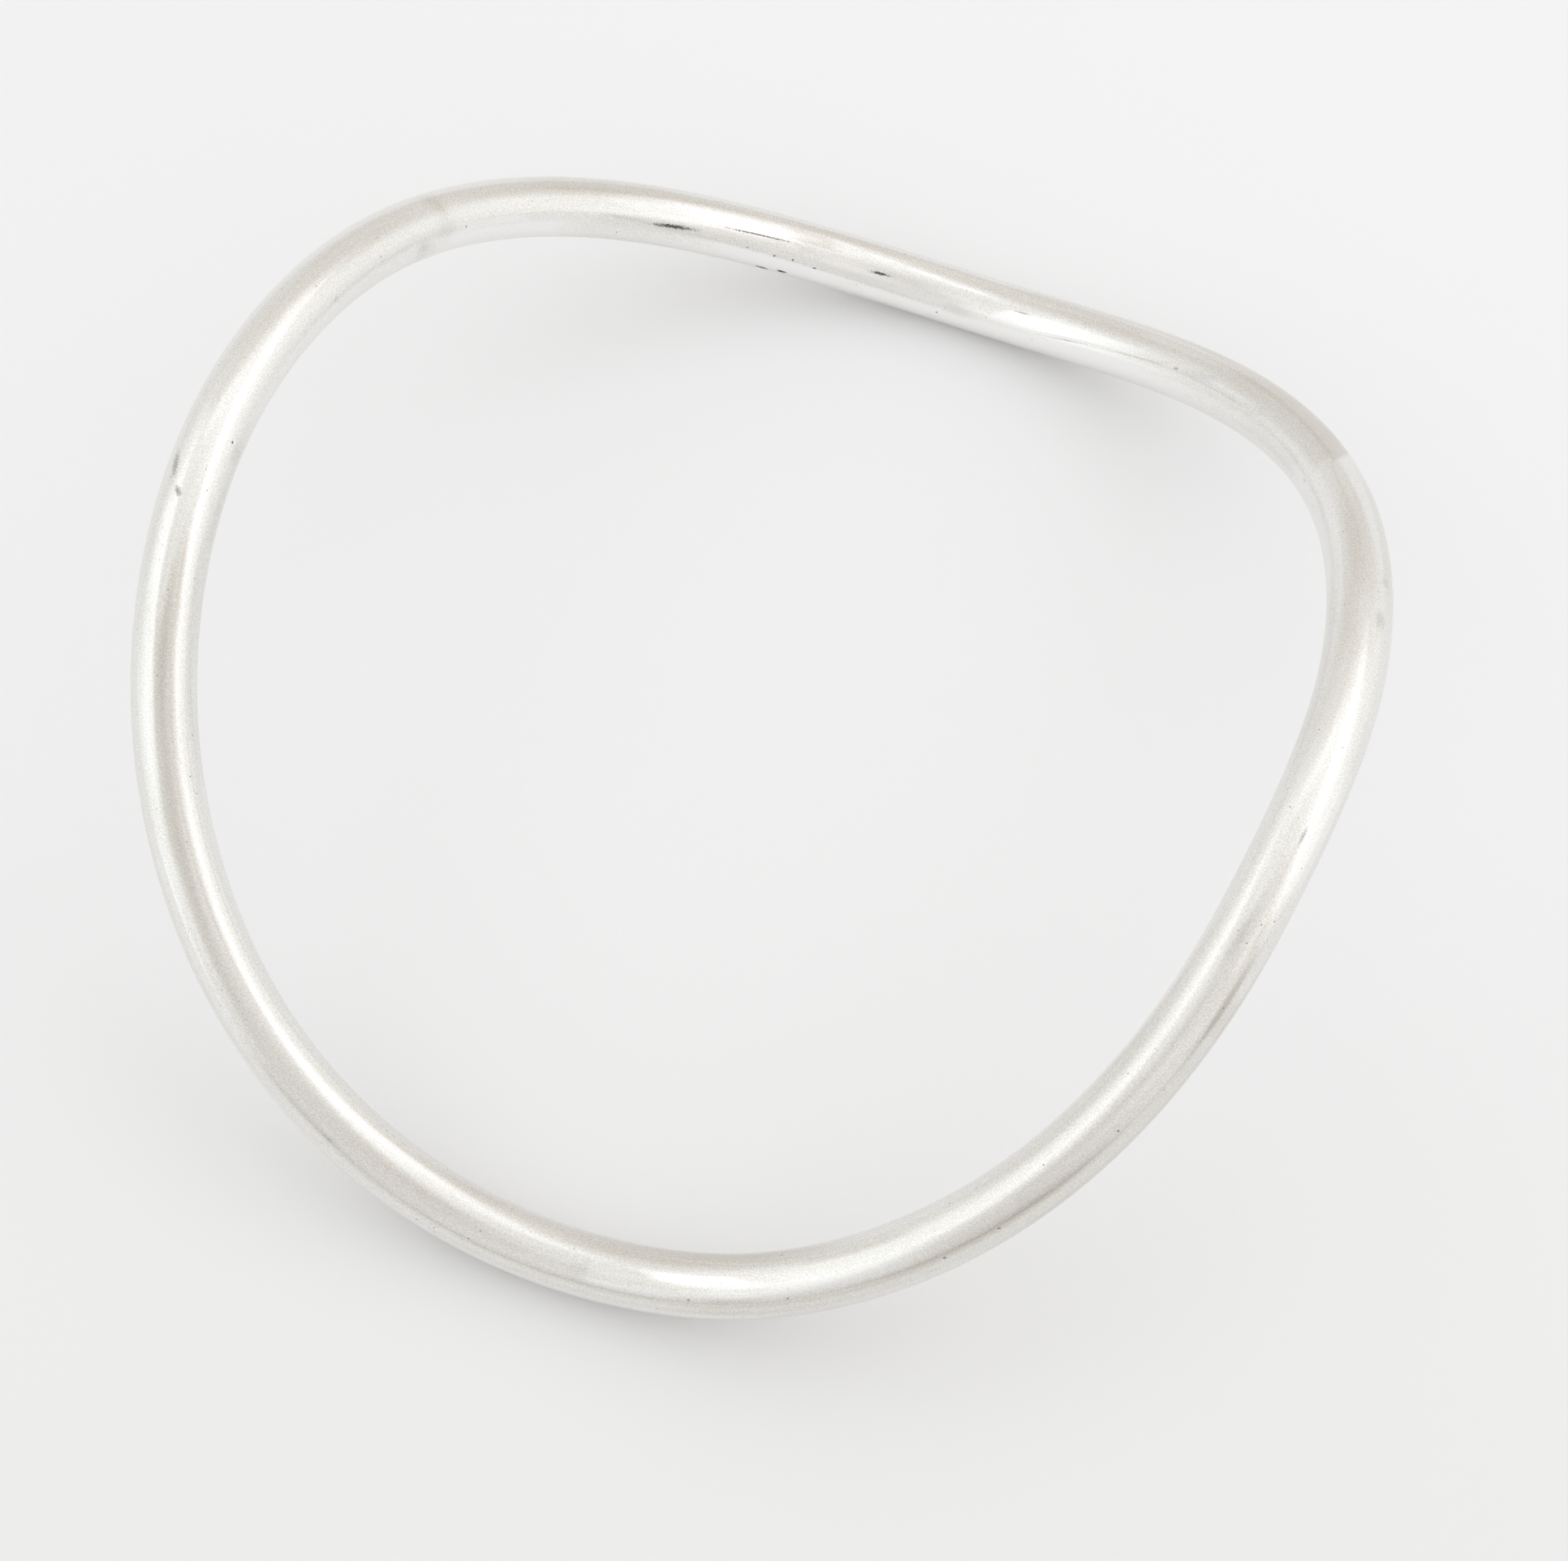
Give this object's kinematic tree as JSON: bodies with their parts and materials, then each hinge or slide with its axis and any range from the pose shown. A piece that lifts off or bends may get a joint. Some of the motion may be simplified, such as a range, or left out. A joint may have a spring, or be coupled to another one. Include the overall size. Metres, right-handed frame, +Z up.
{
  "type": "tubular bangle",
  "caption": "Closed bangle of round hollow tube, bent out of flat into a two-fold saddle wave, worn over the hand.",
  "frame": {"origin": "on the surface that the bangle rests on, under the middle of the hand opening", "axes": "+Z up, along the way the hand goes in; +X towards one of the two high places of the wave; +Y towards one of the two low places that it rests on"},
  "size_m": [0.0704, 0.0752, 0.0249],
  "materials": {
    "silver": "polished silver with fine wear"
  },
  "bodies": {
    "root": {"bangle_tube": "silver"}
  },
  "joints": []
}
